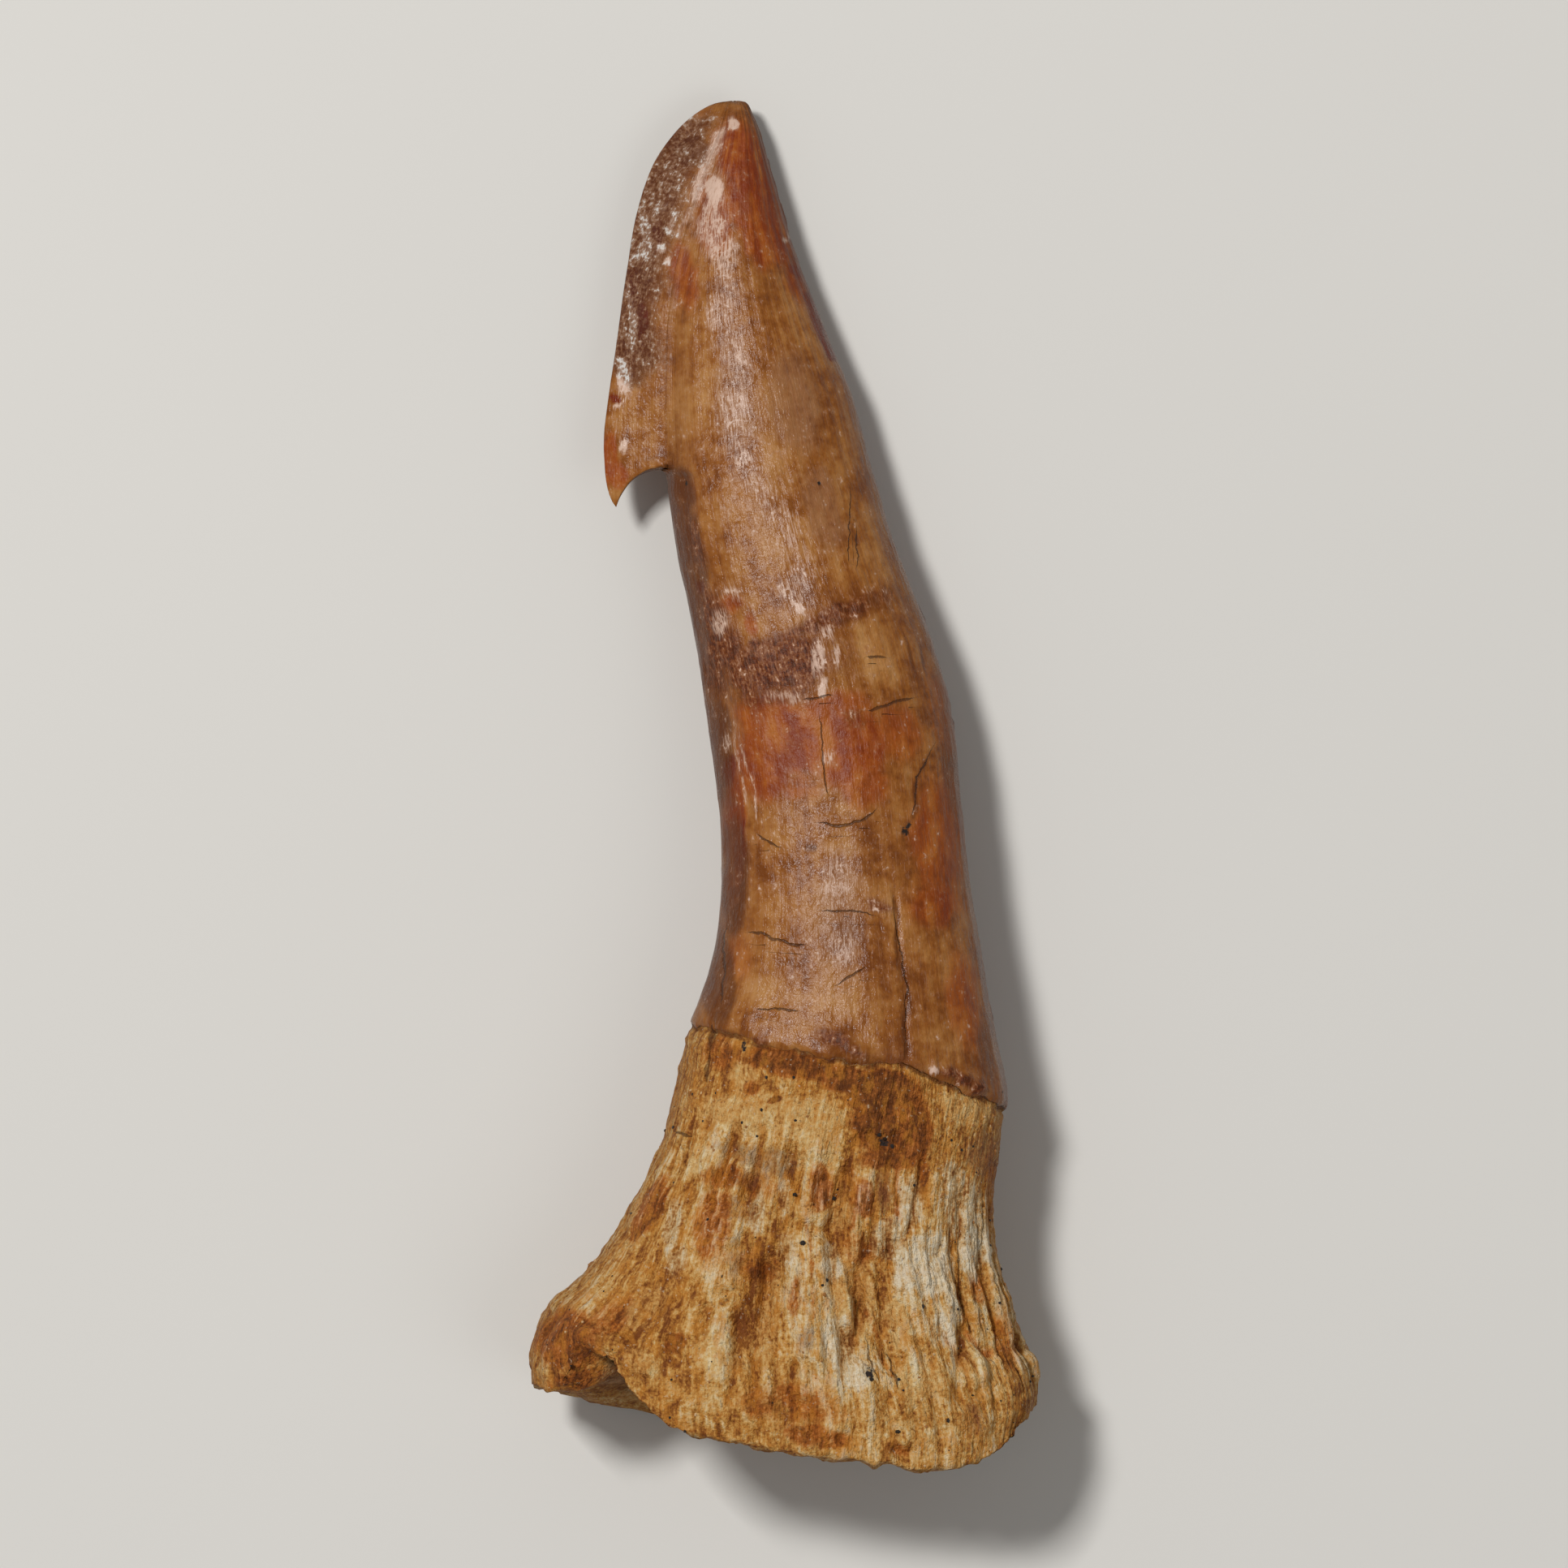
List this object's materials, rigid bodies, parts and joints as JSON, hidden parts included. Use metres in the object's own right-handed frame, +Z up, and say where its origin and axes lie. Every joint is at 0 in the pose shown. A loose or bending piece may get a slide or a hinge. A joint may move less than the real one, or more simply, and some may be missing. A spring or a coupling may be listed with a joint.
{
  "type": "fossil sawfish tooth",
  "caption": "Barbed, gently curved fossil tooth from a sawfish's rostrum: glossy pointed crown and shaft, and a flared, ribbed root with a hollow base. Lies on its back face.",
  "frame": {"origin": "middle of the bounding box in X and Y, on the surface the tooth lies on", "axes": "+Z up from the surface, away from the face it lies on; +Y along the tooth from the root to the crown's tip; +X across it, away from the barb"},
  "size_m": [0.0222, 0.0601, 0.0119],
  "materials": {
    "fossil": "polished tan and orange enamel on the crown and shaft, dull cream and rust bone on the root"
  },
  "bodies": {
    "root": {"tooth": "fossil"}
  },
  "joints": []
}
